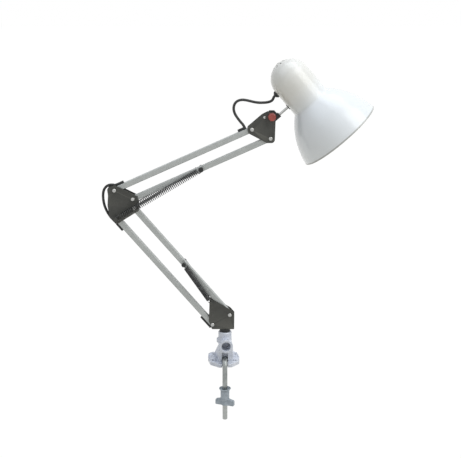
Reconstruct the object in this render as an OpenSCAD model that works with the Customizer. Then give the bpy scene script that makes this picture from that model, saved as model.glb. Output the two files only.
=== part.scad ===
// Swing-arm desk lamp on a bench clamp: two parallelogram arms, four balance springs, one spun shade.
// Millimetres. Z is up, X runs towards the lamp head, Y runs to the back. The origin lies on the post's
// axis at the underside of the clamp's flange, where it sits on the desk.

/* [Arms] */
// Lower arm, bolt to bolt
lower_arm = 291; // [270:1:310]
// Upper arm, bolt to bolt
upper_arm = 295; // [275:1:315]
// Slope of the lower arm above the desk, leaning back
lower_slope = 49.5; // [45:0.5:55]
// Slope of the upper arm above the desk
upper_slope = 24; // [20:0.5:28]
// Outside width of the square tube
tube_w = 11; // [10:0.5:12]
// Wall of the square tube
tube_wall = 1.2; // [1:0.1:1.6]
// Corner radius of the square tube
tube_corner = 1.2; // [0.6:0.1:1.8]
// Tube left past each bolt
tube_end = 6; // [5:0.5:7]

/* [Brackets] */
// Sheet thickness of the plates
plate_t = 1.5; // [1.2:0.1:2]
// Distance between the two bolts of the lower arm
lower_pair = 40.5; // [38:0.5:43]
// Slope of the line through them
lower_pair_slope = 30.5; // [28:0.5:33]
// Distance between the two bolts of the upper arm
upper_pair = 40; // [38:0.5:42]
// Slope of the line through them, falling to the head
upper_pair_slope = -26; // [-29:0.5:-23]
// Height of the upper arm's first bolt over the lower arm's last
elbow_rise = 55.7; // [53:0.1:59]
// Height of the lowest bolt over the bracket's floor
bolt_rise = 9.5; // [9:0.1:12]
// Distance from the post's axis to the lowest bolt
bolt_back = 25; // [24:0.5:29]
// Head bolt to knob, along the desk
knob_reach = 38; // [36:0.5:41]
// Head bolt to knob, upwards
knob_rise = 25; // [23:0.5:28]

/* [Fasteners] */
// Diameter of the pivot bolts
bolt_d = 5; // [4:0.5:5.5]
// Diameter of the domed bolt heads
head_d = 7.8; // [7:0.2:9]
// Height of the domed bolt heads
head_h = 2.7; // [2:0.1:3]
// Wall of the nylon bushes
bush_wall = 1.4; // [1.1:0.1:1.7]
// Thickness of the bush flanges
washer_t = 1.1; // [0.8:0.1:1.5]
// Running clearance of the pivots, on the radius
run = 0.05; // [0.02:0.01:0.08]

/* [Springs] */
// Outside diameter of the coils
spring_d = 10; // [8:0.5:11]
// Diameter of the spring wire
wire_d = 1.4; // [1:0.1:1.6]
// Curls of each upper spring
upper_curls = 26; // [18:1:27]
// Curls of each lower spring
lower_curls = 15; // [10:1:16]
// Diameter of the spring pins
spring_pin_d = 4; // [3:0.5:4.5]
// Upper spring pin, from the elbow along its tube
upper_pin_at = 147; // [130:1:160]
// Lower spring pin, from the lower bracket along its tube
lower_pin_at = 141; // [125:1:150]
// Offset of the upper springs from the middle at the pin
upper_spring_y = 12; // [11.5:0.1:14]
// Offset of the upper springs from the middle at the elbow
elbow_spring_y = 18; // [17.5:0.1:20]
// Offset of the lower springs from the middle
lower_spring_y = 14; // [14:0.1:16]

/* [Shade] */
// Outside diameter of the dome and neck
neck_d = 75.6; // [70:0.2:82]
// Straight neck below the dome's centre
neck_h = 57.5; // [52:0.5:64]
// Outside diameter of the rim
rim_d = 168; // [155:1:185]
// Depth of the bell from neck to rim
bell_h = 86; // [80:1:96]
// Swell of the bell over a straight cone
bell_swell = 8.4; // [5:0.1:11]
// Sheet thickness of the shade
shade_t = 1; // [0.8:0.1:1.4]
// Radius of the rolled rim
rim_bead = 1.4; // [1.2:0.1:2]
// Tilt of the shade's axis below the horizontal
shade_tilt = 48.6; // [40:0.2:56]
// Stem axis to knob axis
stem_offset = 7.3; // [6.5:0.1:8]
// Knob axis to shade axis, along the stem
shade_reach = 74; // [70:0.5:80]
// Stem entry below the dome's centre
stem_entry = 37; // [32:0.5:44]
// Diameter of the stem
stem_d = 5; // [4:0.5:5.5]
// Vent slots in the dome
vents = 8; // [4:1:10]

/* [Head joint] */
// Across the corners of the octagonal knuckle
knuckle_d = 24; // [22:0.5:25]
// Thickness of the knuckle
knuckle_t = 10; // [8:0.5:11]
// Diameter of the clamping bolt
clamp_bolt_d = 6; // [5:0.5:6.5]
// Diameter of the knob
knob_d = 15.6; // [15:0.2:19]
// Height of the knob
knob_h = 12; // [10:0.5:14]

/* [Base] */
// Turn of the casting under the post, front to the right
base_turn = 5.5; // [0:0.5:7]
// Width of the flange
flange_w = 65; // [60:1:68]
// Flange in front of the post
flange_front = 28.5; // [28:0.5:30]
// Flange behind the post
flange_back = 44; // [42:1:48]
// Shift of the flange to the left of the post
flange_shift = 1.5; // [0:0.5:2.5]
// Thickness of the flange
flange_t = 7.5; // [6:0.5:9]
// Screw holes, side to side
screw_span_x = 46; // [42:1:48]
// Screw holes, front to back
screw_span_y = 35; // [33:1:36]
// Diameter of the screw holes
screw_hole_d = 4.5; // [3.5:0.5:5]
// Outside diameter of the upright socket
socket_d = 27; // [25:0.5:28]
// Height of the upright socket
socket_h = 68.2; // [62:0.1:72]
// Bore of both sockets
socket_bore_d = 18.5; // [17:0.5:19]
// Diameter of the post
post_d = 12.7; // [10:0.1:13]
// Outside diameter of the wall socket
wall_socket_d = 28; // [25:0.5:29]
// Height of the wall socket's axis
wall_socket_z = 43.8; // [43:0.1:46]
// Depth of the wall socket
wall_socket_depth = 16; // [12:0.5:17]
// Diameter of the collar under the bracket
collar_d = 21.5; // [19.5:0.5:23]
// Thickness of the collar
collar_h = 4; // [3.5:0.1:7]
// Flange thickness of the post's bush
bush_flange = 2.5; // [2:0.1:5]

/* [Clamp] */
// Diameter of the hook rod
rod_d = 10; // [8:0.5:10]
// Distance of the rod in front of the post
rod_front = 33; // [32:0.5:35]
// Bend radius of the hook, on its axis
hook_bend = 14; // [12:0.5:15]
// Height of the hook in the casting
hook_z = 12; // [11.5:0.1:13]
// Reach of the rod below the desk
rod_drop = 110; // [100:1:130]
// Clear jaw between flange and pad
jaw = 42; // [20:1:50]
// Diameter of the pad's rim
pad_d = 24.4; // [22:0.2:30]
// Height of the pad
pad_h = 5; // [4.5:0.1:7]
// Diameter of the nut's neck
nut_neck_d = 18; // [16:0.5:20]
// Length of the nut's neck
nut_neck_h = 19.5; // [14:0.5:22]
// Span over the wings
wing_span = 39; // [34:1:44]
// Height of the wings
wing_h = 12; // [10:0.5:18]
// Thickness of the wings
wing_t = 7; // [5:0.5:9]
// Turn of the wings from the flange's front
wing_turn = -20; // [-45:1:45]

/* [Flex] */
// Diameter of the flex
flex_d = 4.2; // [3.6:0.1:4.6]
// Length of the cable clips
clip_l = 17; // [15:0.5:19]
// Width of the cable clips
clip_w = 8; // [7:0.5:9]

/* [Lamp] */
// Diameter of the lampholder
holder_d = 39; // [34:1:42]
// Depth of the lampholder
holder_h = 52; // [46:1:56]
// Diameter of the bulb
bulb_d = 60; // [45:1:60]

/* [Hidden] */
$fn = 48;
slack = 0.1;
seat = 0.3;
snug = 0.05;

function polar(r, a) = [r * cos(a), r * sin(a)];
function unit(v) = v / norm(v);
function at_end(list) = list[len(list) - 1];

// Bolt centres in the arms' plane, as [x, z]
bracket_floor = socket_h + bush_flange + seat + collar_h;
foot_left = [-bolt_back, bracket_floor + bolt_rise];
foot_right = foot_left + polar(lower_pair, lower_pair_slope);
elbow_low = foot_left + polar(lower_arm, 180 - lower_slope);
elbow_mid = elbow_low + (foot_right - foot_left);
elbow_top = elbow_low + [-2.5, elbow_rise];
elbow_right = elbow_top + polar(upper_pair, upper_pair_slope);
head_left = elbow_top + polar(upper_arm, upper_slope);
head_right = head_left + (elbow_right - elbow_top);
knob_at = head_left + [knob_reach, knob_rise];
rivet_at = knob_at + [-14.4, -1.5];
foot_spring = foot_left + [-2.5, 48];
upper_pin = elbow_right + polar(upper_pin_at, upper_slope);
lower_pin = foot_right + polar(lower_pin_at, 180 - lower_slope);

// Layers across the arms
tube_half = tube_w / 2;
plate_in = tube_half + washer_t + slack;
plate_out = plate_in + plate_t;
nut_h = 2.8;
bush_d = bolt_d + 2 * (run + bush_wall);

// The shade's place
shade_axis = polar(1, -shade_tilt);
stem_axis = polar(1, 90 - shade_tilt);
shade_at = knob_at + (stem_offset - stem_entry) * shade_axis + shade_reach * stem_axis;
gland_s = 4;
gland_out = 6.2;

clip_h = flex_d + 0.5;
outlet_tilt = 30;
outlet_l = 9;

// ---- shared shapes ----

// Points of an outline whose corners [x, z, radius] are rounded by arcs
function rounded(corners, steps = 6) = [for (i = [0 : len(corners) - 1])
    let (n = len(corners), c = corners[i], before = corners[(i + n - 1) % n], after = corners[(i + 1) % n],
        p = [c.x, c.y], to_before = unit([before.x, before.y] - p), to_after = unit([after.x, after.y] - p),
        half = acos(to_before * to_after) / 2, centre = p + unit(to_before + to_after) * c.z / sin(half),
        first = p + to_before * c.z / tan(half) - centre, last = p + to_after * c.z / tan(half) - centre,
        from = atan2(first.y, first.x), turn = (atan2(last.y, last.x) - from + 540) % 360 - 180)
    each [for (k = [0 : steps]) centre + polar(c.z, from + turn * k / steps)]];

// Bolt centre p with an outline corner set off by dx, dz and rounded by r
function corner(p, dx, dz, r) = [p.x + dx, p.y + dz, r];

// Points of an arc from p to q that swells to the left by the sagitta
function swollen(p, q, sagitta, steps) =
    let (chord = norm(q - p), radius = (chord * chord / 4 + sagitta * sagitta) / (2 * sagitta),
        along = unit(q - p), side = [-along.y, along.x],
        centre = (p + q) / 2 - side * (radius - sagitta), half = asin(chord / 2 / radius),
        mid = atan2(side.y, side.x))
    [for (k = [0 : steps]) centre + polar(radius, mid + half - 2 * half * k / steps)];

// Slab of an outline in the arms' plane, from y0 to y1
module slab(points, y0, y1)
    translate([0, y1, 0]) rotate([90, 0, 0]) linear_extrude(y1 - y0) polygon(points);

// Round bar across the arms at p, from y0 to y1
module across(p, d, y0, y1, sides = 48)
    translate([p.x, y1, p.y]) rotate([90, 0, 0]) cylinder(d = d, h = y1 - y0, $fn = sides);

// Places a tube's own frame: X along it from p, Z to its outer side
module along(p, angle) translate([p.x, 0, p.y]) rotate([0, -angle, 0]) children();

// Places the shade's own frame: Z along its axis to the rim, X towards the arm
module in_shade() translate([shade_at.x, 0, shade_at.y]) rotate([0, 90 + shade_tilt, 0]) children();

// Places the stem's own frame: Z along the stem, from the foot of the knob's axis
module on_stem() {
    foot = knob_at + stem_offset * shade_axis;
    translate([foot.x, 0, foot.y]) rotate([0, shade_tilt, 0]) children();
}

// ---- swept tubes ----

function directions(path) = [for (i = [0 : len(path) - 1])
    unit(path[min(i + 1, len(path) - 1)] - path[max(i - 1, 0)])];
function square_to(v, t) = unit(v - (v * t) * t);
function sides_of(path, dirs, hint) = [for (i = 0, n = square_to(hint, dirs[0]); i < len(path);
    i = i + 1, n = square_to(n, dirs[min(i, len(path) - 1)])) n];

// One unbroken tube along a path
module swept(path, d, sides, hint = [0, 1, 0], along_dirs = []) {
    dirs = len(along_dirs) > 0 ? along_dirs : directions(path);
    side = sides_of(path, dirs, hint);
    rings = len(path);
    points = [for (i = [0 : rings - 1]) for (k = [0 : sides - 1])
        let (a = 360 * k / sides, up = cross(dirs[i], side[i]))
        path[i] + d / 2 * (cos(a) * side[i] + sin(a) * up)];
    walls = [for (i = [0 : rings - 2]) for (k = [0 : sides - 1])
        let (a = i * sides + k, b = i * sides + (k + 1) % sides)
        each [[a, b + sides, b], [a, a + sides, b + sides]]];
    caps = [[for (k = [0 : sides - 1]) k], [for (k = [sides - 1 : -1 : 0]) (rings - 1) * sides + k]];
    polyhedron(points, concat(walls, caps), convexity = 10);
}

// Spring wire from the eye round the first pin to the eye round the second, on the X axis
function eye(at, radius, from, turn, steps) = [for (k = [0 : steps])
    let (a = from - turn * k / steps) [at + radius * cos(a), 0, radius * sin(a)]];
function wire(length, curls, coil, loop, lead_a, lead_b, per_curl = 8) = concat(
    [[lead_a - 2.6, 0, 0.8 - coil]],
    eye(0, loop, -45, 225, 7),
    [[lead_a - 1.4, 0, coil - 0.2]],
    [for (k = [1 : curls * per_curl - 1]) let (t = k / per_curl)
        [lead_a + (length - lead_a - lead_b) * t / curls, coil * sin(360 * t), coil * cos(360 * t)]],
    [[length - lead_b + 1.4, 0, coil - 0.2]],
    eye(length, loop, 90, 225, 7),
    [[length - lead_b + 2.6, 0, 0.8 - coil]]);

// Least gap between stretches of the wire that lie at least half a curl apart
function least_gap(path, d, apart = 5) = min([for (i = [0 : len(path) - 1 - apart])
    for (j = [i + apart : min(i + 3 * apart, len(path) - 1)]) norm(path[i] - path[j])]) - d;

// A spring from pin p at offset y0 to pin q at offset y1; the coils start lead_a and lead_b from them
module spring(p, q, y0, y1, curls, lead_a, lead_b, name) {
    way = [q.x - p.x, y1 - y0, q.y - p.y];
    coil = (spring_d - wire_d) / 2;
    path = wire(norm(way), curls, coil, spring_pin_d / 2 + wire_d / 2 + 0.6, lead_a, lead_b);
    echo(name, least_gap = least_gap(path, wire_d));
    translate([p.x, y0, p.y]) rotate([0, -atan2(way.z, way.x), 0])
        rotate([0, 0, asin(way.y / norm(way))]) swept(path, wire_d, 6);
}

// ---- arm parts ----

module square_tube(p, angle, length) {
    half = tube_half;
    in_half = half - tube_wall;
    in_corner = max(tube_corner - tube_wall, 0.2);
    profile = rounded([for (c = [[1, 1], [-1, 1], [-1, -1], [1, -1]])
        [c.x * half, c.y * half, tube_corner]], 4);
    bore = rounded([for (c = [[1, 1], [-1, 1], [-1, -1], [1, -1]])
        [c.x * in_half, c.y * in_half, in_corner]], 4);
    along(p, angle) difference() {
        translate([-tube_end, 0, 0]) rotate([90, 0, 90]) linear_extrude(length + 2 * tube_end)
            polygon(profile);
        translate([-tube_end - 1, 0, 0]) rotate([90, 0, 90]) linear_extrude(length + 2 * tube_end + 2)
            polygon(bore);
        for (x = [0, length]) across([x, 0], bush_d + 2 * snug, -half - 1, half + 1);
        children();
    }
}

// Two top-hat bushes that meet in the middle of the tube
module bushes(p) for (side = [-1, 1]) difference() {
    union() {
        across(p, bush_d, side > 0 ? seat / 2 : -tube_half, side > 0 ? tube_half : -seat / 2);
        across(p, min(bush_d + 2.4, tube_w - 0.6), side > 0 ? tube_half : -tube_half - washer_t,
            side > 0 ? tube_half + washer_t : -tube_half);
    }
    across(p, bolt_d + 2 * run, -plate_out, plate_out);
}

module domed_head(p, y, d, h) translate([p.x, y, p.y]) rotate([90, 0, 0]) rotate_extrude()
    polygon(concat([[0, 0]],
        [for (a = [0 : 15 : 90]) [d / 2 * cos(a), h * (0.35 * sign(a) + 0.65 * sin(a))]]));

module bolt(p) {
    across(p, bolt_d, -plate_out, plate_out + nut_h + 0.2);
    domed_head(p, -plate_out, head_d, head_h);
}

module nut(p) difference() {
    across(p, bolt_d * 1.8, plate_out, plate_out + nut_h, 6);
    across(p, bolt_d + 2 * snug, plate_out - 1, plate_out + nut_h + 1);
}

// Pin through a tube or a bracket, with a flat head on each end
module headed_pin(p, reach, head, head_t = 1.4) {
    across(p, spring_pin_d, -reach, reach);
    for (y = [-reach, reach - head_t]) across(p, head, y, y + head_t);
}

// Cable clip on the outer side of a tube, from x0 for a length
module clip_body(x0, length) translate([x0, 0, 0]) rotate([90, 0, 90]) linear_extrude(length)
    polygon(rounded([[-clip_w / 2, tube_half, 0.3], [clip_w / 2, tube_half, 0.3],
        [clip_w / 2, tube_half + clip_h, 2.2], [-clip_w / 2, tube_half + clip_h, 2.2]]));

// Flex inside a tube: a run from x0 to x1 with a rise of `up` at each end
module flex_run(x0, x1, up0, up1, d = flex_d) {
    translate([x0, 0, 0]) rotate([0, 90, 0]) cylinder(d = d, h = x1 - x0);
    for (e = [[x0, up0], [x1, up1]]) translate([e[0], 0, 0]) {
        sphere(d = d);
        cylinder(d = d, h = e[1]);
    }
}

// Slanted stretch that leads the flex out of a clip's end; dir is -1 or 1 along the tube
module flex_outlet(x, dir, d = flex_d, length = outlet_l) translate([x, 0, tube_half - 1.2]) {
    sphere(d = d);
    rotate([0, dir * (90 - outlet_tilt), 0]) cylinder(d = d, h = length);
}

// ---- base and clamp ----

function flange_corners(inset) = let (w = flange_w / 2 - inset, f = flange_front - inset,
    b = flange_back - inset)
    [for (c = [[-w + 3, -f + 16.5, 2], [-13, -f, 2.5], [13, -f, 2.5], [w - 3, -f + 16.5, 2],
        [w, 12, 5], [w - 2.5, b - 8, 3], [w - 10, b, 3], [-w + 10, b, 3], [-w + 2.5, b - 8, 3], [-w, 12, 5]])
        [c.x - flange_shift, c.y, c.z]];
screw_x0 = -1.5 - screw_span_x / 2;
screw_y0 = -5;
foot_solid = 24;
hook_in = 2;
skirt_front = 14.7;
wall_socket_front = socket_bore_d / 2 + 1.75 + wall_socket_depth;
lock_z = wall_socket_z + 5.2;
lock_d = 5;
boss_out = 3.5;

// Front block and two side walls that run back and down to the flange
module skirt() intersection() {
    linear_extrude(50) polygon([[-14.3, -skirt_front], [14.3, -skirt_front], [20.3, 27], [15.8, 27],
        [11.5, 3], [-11.5, 3], [-15.8, 27], [-20.3, 27]]);
    rotate([90, 0, 90]) translate([0, 0, -30]) linear_extrude(60)
        polygon([[-skirt_front, 2], [27, 2], [27, 11.5], [-9.5, 42.5], [-skirt_front, 42.5]]);
}

module base_casting() color([0.66, 0.71, 0.75]) difference() {
    union() {
        cylinder(d = socket_d, h = socket_h - 1);
        translate([0, 0, socket_h - 1]) cylinder(d1 = socket_d, d2 = socket_d - 1.6, h = 1);
        rotate([0, 0, base_turn]) {
            difference() {
                linear_extrude(flange_t) polygon(rounded(flange_corners(0), 4));
                translate([0, 0, flange_t - 1]) linear_extrude(flange_t)
                    polygon(rounded(flange_corners(2.6), 4));
            }
            skirt();
            across([0, wall_socket_z], wall_socket_d, -wall_socket_front, 0);
        }
        // lock screw boss
        translate([-socket_d / 2 + 1.5, 0, lock_z]) rotate([0, -90, 0])
            cylinder(d1 = 15, d2 = lock_d + 3, h = boss_out + 1.5);
        // screw pads
        for (x = [0, 1], y = [0, 1]) translate([screw_x0 + x * screw_span_x, screw_y0 + y * screw_span_y, 1])
            cylinder(d = screw_hole_d + 4.2, h = flange_t - 1.3);
    }
    translate([0, 0, foot_solid]) cylinder(d = socket_bore_d, h = socket_h);
    rotate([0, 0, base_turn]) across([0, wall_socket_z], socket_bore_d, -wall_socket_front - 1,
        -wall_socket_front + wall_socket_depth);
    translate([-socket_d, 0, lock_z]) rotate([0, 90, 0]) cylinder(d = lock_d + 2 * snug, h = socket_d);
    across([0, hook_z], rod_d + 2 * snug, -rod_front, -hook_in);
    // cavity over the rod and notch for it in the front edge
    slab([[-rod_d / 2 - 0.8, flange_t - 1.4], [rod_d / 2 + 0.8, flange_t - 1.4],
        [rod_d / 2 + 0.8, 26.5], [rod_d / 2 - 1.5, 29], [1.5 - rod_d / 2, 29], [-rod_d / 2 - 0.8, 26.5]],
        -rod_front, -8.5);
    translate([-rod_d / 2 - 0.5, -rod_front - rod_d, -1]) cube([rod_d + 1, rod_d + 12, flange_t + 0.2]);
    for (x = [0, 1], y = [0, 1]) translate([screw_x0 + x * screw_span_x, screw_y0 + y * screw_span_y, -1])
        cylinder(d = screw_hole_d, h = flange_t + 2);
}

bush_bottom = foot_solid + 3;
module post_bush() color([0.13, 0.13, 0.13]) difference() {
    union() {
        translate([0, 0, bush_bottom]) cylinder(d = socket_bore_d - 2 * snug, h = socket_h - bush_bottom);
        translate([0, 0, socket_h]) cylinder(d = collar_d, h = bush_flange);
    }
    translate([0, 0, bush_bottom - 1]) cylinder(d = post_d + 2 * run, h = socket_h);
}

module post_lock_screw() color([0.6, 0.61, 0.62]) difference() {
    translate([0.5 - boss_out - socket_d / 2, 0, lock_z]) rotate([0, 90, 0])
        cylinder(d = lock_d, h = socket_d / 2 + boss_out - 0.5 - socket_bore_d / 2 - 0.2);
    translate([-boss_out - socket_d / 2 - 1, 0, lock_z]) rotate([0, 90, 0]) cylinder(d = 3, h = 3.6, $fn = 6);
}

module hook_rod() color([0.62, 0.63, 0.63]) {
    across([0, hook_z], rod_d, -rod_front + hook_bend, -hook_in - seat);
    translate([0, -rod_front + hook_bend, hook_z - hook_bend]) rotate([0, -90, 0]) rotate([0, 0, -90])
        rotate_extrude(angle = 90) translate([hook_bend, 0]) circle(d = rod_d);
    translate([0, -rod_front, -rod_drop + 1]) cylinder(d = rod_d, h = rod_drop - 1 + hook_z - hook_bend);
    translate([0, -rod_front, -rod_drop]) cylinder(d1 = rod_d - 2, d2 = rod_d, h = 1);
}

// Cup that presses under the desk
module clamp_pad() color([0.72, 0.76, 0.8]) translate([0, -rod_front, -jaw - pad_h]) rotate_extrude()
    polygon([[rod_d / 2 + seat, 0], [nut_neck_d / 2 + 0.4, 0], [pad_d / 2 - 0.3, pad_h - 1.6],
        [pad_d / 2, pad_h - 0.6], [pad_d / 2 - 0.5, pad_h], [pad_d / 2 - 1.4, pad_h], [pad_d / 2 - 2.4, pad_h - 2],
        [rod_d / 2 + 2.6, pad_h - 3], [rod_d / 2 + seat, pad_h - 3]]);

nut_top = -jaw - pad_h - seat;
module wing_nut() color([0.66, 0.71, 0.75])
    translate([0, -rod_front, nut_top]) rotate([0, 0, wing_turn]) difference() {
    union() {
        translate([0, 0, -nut_neck_h]) cylinder(d = nut_neck_d, h = nut_neck_h);
        slab(rounded([[-nut_neck_d / 2, -nut_neck_h + 1.5, 1], [-wing_span / 2, -nut_neck_h - 1, 1.8],
            [-wing_span / 2 - 0.5, -nut_neck_h - wing_h, 2], [wing_span / 2 + 0.5, -nut_neck_h - wing_h, 2],
            [wing_span / 2, -nut_neck_h - 1, 1.8], [nut_neck_d / 2, -nut_neck_h + 1.5, 1]], 4),
            -wing_t / 2, wing_t / 2);
        translate([0, 0, -nut_neck_h - wing_h + 0.5]) cylinder(d = nut_neck_d - 3, h = wing_h);
    }
    translate([0, 0, -nut_neck_h - wing_h - 1]) cylinder(d = rod_d + 2 * run, h = nut_neck_h + wing_h + 2);
}

// ---- post and lower bracket ----

post_foot = bush_bottom - 3 + seat;
spigot_d = 8;
module post() color([0.6, 0.61, 0.62]) {
    translate([0, 0, post_foot + 1]) cylinder(d = post_d, h = bracket_floor - post_foot - 1);
    translate([0, 0, post_foot]) cylinder(d1 = post_d - 2, d2 = post_d, h = 1);
    translate([0, 0, bracket_floor]) cylinder(d = spigot_d, h = plate_t + 0.5);
    translate([0, 0, bracket_floor + plate_t]) cylinder(d1 = post_d, d2 = spigot_d, h = 2.2);
}

module post_collar() color([0.13, 0.13, 0.13]) translate([0, 0, socket_h + bush_flange + seat]) difference() {
    cylinder(d = collar_d, h = collar_h);
    translate([0, 0, -1]) cylinder(d = post_d + 2 * snug, h = collar_h + 2);
}

lower_outline = rounded([corner(foot_left, -7.5, 7.5, 3), [foot_left.x - 1.5, bracket_floor, 2.5],
    [foot_right.x + 8.8, bracket_floor, 1.5], corner(foot_right, 9.2, 2, 2), corner(foot_right, 1, 11.5, 4),
    corner(foot_spring, 4.5, 4.5, 2), corner(foot_spring, -3.4, 4.5, 2.5)]);

module lower_bracket() color([0.29, 0.29, 0.28]) difference() {
    union() {
        for (y = [-plate_out, plate_in]) slab(lower_outline, y, y + plate_t);
        translate([-15, -plate_out, bracket_floor]) cube([30, 2 * plate_out, plate_t]);
    }
    for (p = [foot_left, foot_right]) across(p, bolt_d + 2 * snug, -plate_out - 1, plate_out + 1);
    across(foot_spring, spring_pin_d + 2 * snug, -plate_out - 1, plate_out + 1);
    translate([0, 0, bracket_floor - 1]) cylinder(d = spigot_d + 2 * snug, h = plate_t + 2);
}

module lower_bolts() color([0.75, 0.75, 0.75]) for (p = [foot_left, foot_right]) bolt(p);
module lower_nuts() color([0.7, 0.7, 0.7]) for (p = [foot_left, foot_right]) nut(p);
// Two studs riveted into the bracket's upper corners
module lower_anchor_studs() color([0.25, 0.25, 0.25]) for (side = [-1, 1]) {
    far = lower_spring_y + 3;
    across(foot_spring, spring_pin_d, side > 0 ? plate_in : -far, side > 0 ? far : -plate_in);
    across(foot_spring, spring_pin_d + 3, side > 0 ? far - 1.4 : -far, side > 0 ? far : 1.4 - far);
    across(foot_spring, spring_pin_d + 2.4,
        side > 0 ? plate_out : -plate_out - 1.6, side > 0 ? plate_out + 1.6 : -plate_out);
}

// ---- lower arm ----

left_angle = 180 - lower_slope;
lower_clip_top = lower_arm - 10 - clip_l;
lower_clip_foot = -3;
lower_outlet_l = clip_l + 12;
lower_flex_x = [14, lower_arm - 19];

module lower_left_tube() color([0.68, 0.68, 0.67]) square_tube(foot_left, left_angle, lower_arm)
    for (x = lower_flex_x) translate([x, 0, 0]) cylinder(d = flex_d + 0.6, h = tube_w);
module lower_right_tube() color([0.68, 0.68, 0.67]) square_tube(foot_right, left_angle, lower_arm)
    across([lower_pin_at, 0], spring_pin_d + 2 * snug, -tube_w, tube_w);
module lower_left_bushes() color([0.16, 0.16, 0.16]) for (p = [foot_left, elbow_low]) bushes(p);
module lower_right_bushes() color([0.16, 0.16, 0.16]) for (p = [foot_right, elbow_mid]) bushes(p);
module lower_spring_pin() color([0.2, 0.2, 0.2]) headed_pin(lower_pin, lower_spring_y + 3, spring_pin_d + 5);
module lower_spring(side, name) color([0.25, 0.25, 0.25])
    spring(lower_pin, foot_spring, side * lower_spring_y, side * lower_spring_y, lower_curls, 8, 8, name);
module lower_spring_front() lower_spring(-1, "lower_spring_front");
module lower_spring_back() lower_spring(1, "lower_spring_back");

module lower_cable_clips() color([0.13, 0.13, 0.13]) along(foot_left, left_angle) {
    difference() {
        clip_body(lower_clip_top, clip_l);
        lower_flex_shape(flex_d + 0.2, 3);
    }
    difference() {
        clip_body(lower_clip_foot, lower_outlet_l);
        lower_flex_shape(flex_d + 0.2, 3);
    }
}
// The flex of the lower arm, from the loop at the elbow down to its outlet by the bracket
module lower_flex_shape(d, more = 0) {
    flex_run(lower_flex_x[0], lower_flex_x[1], tube_half + flex_d / 2 + 0.2, tube_half + flex_d / 2 + 0.2, d);
    translate([lower_flex_x[1], 0, tube_half + flex_d / 2 + 0.2]) {
        sphere(d = d);
        rotate([0, 90, 0]) cylinder(d = d, h = lower_clip_top + clip_l - lower_flex_x[1] + more);
    }
    translate([lower_flex_x[0], 0, tube_half + flex_d / 2 + 0.2]) {
        sphere(d = d);
        rotate([0, -90, 0]) cylinder(d = d, h = lower_flex_x[0] - lower_clip_foot - 1 + more);
    }
}

// ---- elbow ----

elbow_outline = rounded([corner(elbow_top, -14, 4.5, 5), corner(elbow_top, 1, 11, 5),
    corner(elbow_right, 9.5, 6, 5),
    corner(elbow_right, 12.5, -22, 5), corner(elbow_low, 1, -12, 5), corner(elbow_low, -13, 1, 4),
    corner(elbow_low, -16.5, 26, 16), corner(elbow_top, -12.5, -10, 12)]);
elbow_bolt_at = [elbow_mid, elbow_top, elbow_right];

module elbow_plate(y) color([0.29, 0.29, 0.28]) difference() {
    slab(elbow_outline, y, y + plate_t);
    for (p = concat(elbow_bolt_at, [elbow_low])) across(p, bolt_d + 2 * snug, y - 1, y + plate_t + 1);
}
module elbow_plate_front() elbow_plate(-plate_out);
module elbow_plate_back() elbow_plate(plate_in);
module elbow_bolts() color([0.75, 0.75, 0.75]) for (p = elbow_bolt_at) bolt(p);
module elbow_nuts() color([0.7, 0.7, 0.7]) for (p = elbow_bolt_at) nut(p);

// Long bolt at the lowest elbow hole, which carries both upper springs
anchor_reach = elbow_spring_y + 3;
module spring_anchor_bolt() color([0.25, 0.25, 0.25]) {
    across(elbow_low, bolt_d, -anchor_reach + 1, anchor_reach - 1);
    for (side = [-1, 1]) across(elbow_low, bolt_d + 3, side > 0 ? anchor_reach - 1.4 : -anchor_reach,
        side > 0 ? anchor_reach : -anchor_reach + 1.4);
}
module anchor_spacers() color([0.2, 0.2, 0.2]) for (side = [-1, 1]) difference() {
    across(elbow_low, bolt_d + 3.2, side > 0 ? plate_out : -elbow_spring_y + 1.4,
        side > 0 ? elbow_spring_y - 1.4 : -plate_out);
    across(elbow_low, bolt_d + 2 * snug, -anchor_reach - 1, anchor_reach + 1);
}

// ---- upper arm ----

upper_clip_x = [6, upper_arm - 9.5 - clip_l];
upper_flex_x = [13, upper_arm - 12];

module upper_top_tube() color([0.68, 0.68, 0.67]) square_tube(elbow_top, upper_slope, upper_arm) {
    for (x = upper_flex_x) translate([x, 0, 0]) cylinder(d = flex_d + 0.6, h = tube_w);
    translate([upper_flex_x[0], 0, tube_half - 1.2]) rotate([0, outlet_tilt - 90, 0])
        cylinder(d = flex_d + 1, h = 7);
}
module upper_bottom_tube() color([0.68, 0.68, 0.67]) square_tube(elbow_right, upper_slope, upper_arm)
    across([upper_pin_at, 0], spring_pin_d + 2 * snug, -tube_w, tube_w);
module upper_top_bushes() color([0.16, 0.16, 0.16]) for (p = [elbow_top, head_left]) bushes(p);
module upper_bottom_bushes() color([0.16, 0.16, 0.16]) for (p = [elbow_right, head_right]) bushes(p);
module upper_spring_pin() color([0.2, 0.2, 0.2]) headed_pin(upper_pin, upper_spring_y + 3, spring_pin_d + 6);
module upper_spring(side, name) color([0.25, 0.25, 0.25])
    spring(upper_pin, elbow_low, side * upper_spring_y, side * elbow_spring_y, upper_curls, 8, 13, name);
module upper_spring_front() upper_spring(-1, "upper_spring_front");
module upper_spring_back() upper_spring(1, "upper_spring_back");

// The flex of the upper arm, from the loop at the head to the loop at the elbow
module upper_flex_shape(d, more = 0) {
    flex_run(upper_flex_x[0], upper_flex_x[1], tube_half - 1.2, tube_half + clip_h + more, d);
    flex_outlet(upper_flex_x[0], -1, d, outlet_l + more);
}
module upper_cable_clips() color([0.13, 0.13, 0.13]) along(elbow_top, upper_slope) for (x = upper_clip_x)
    difference() {
        clip_body(x, clip_l);
        upper_flex_shape(flex_d + 0.2, 3);
    }

// ---- head bracket ----

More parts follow.
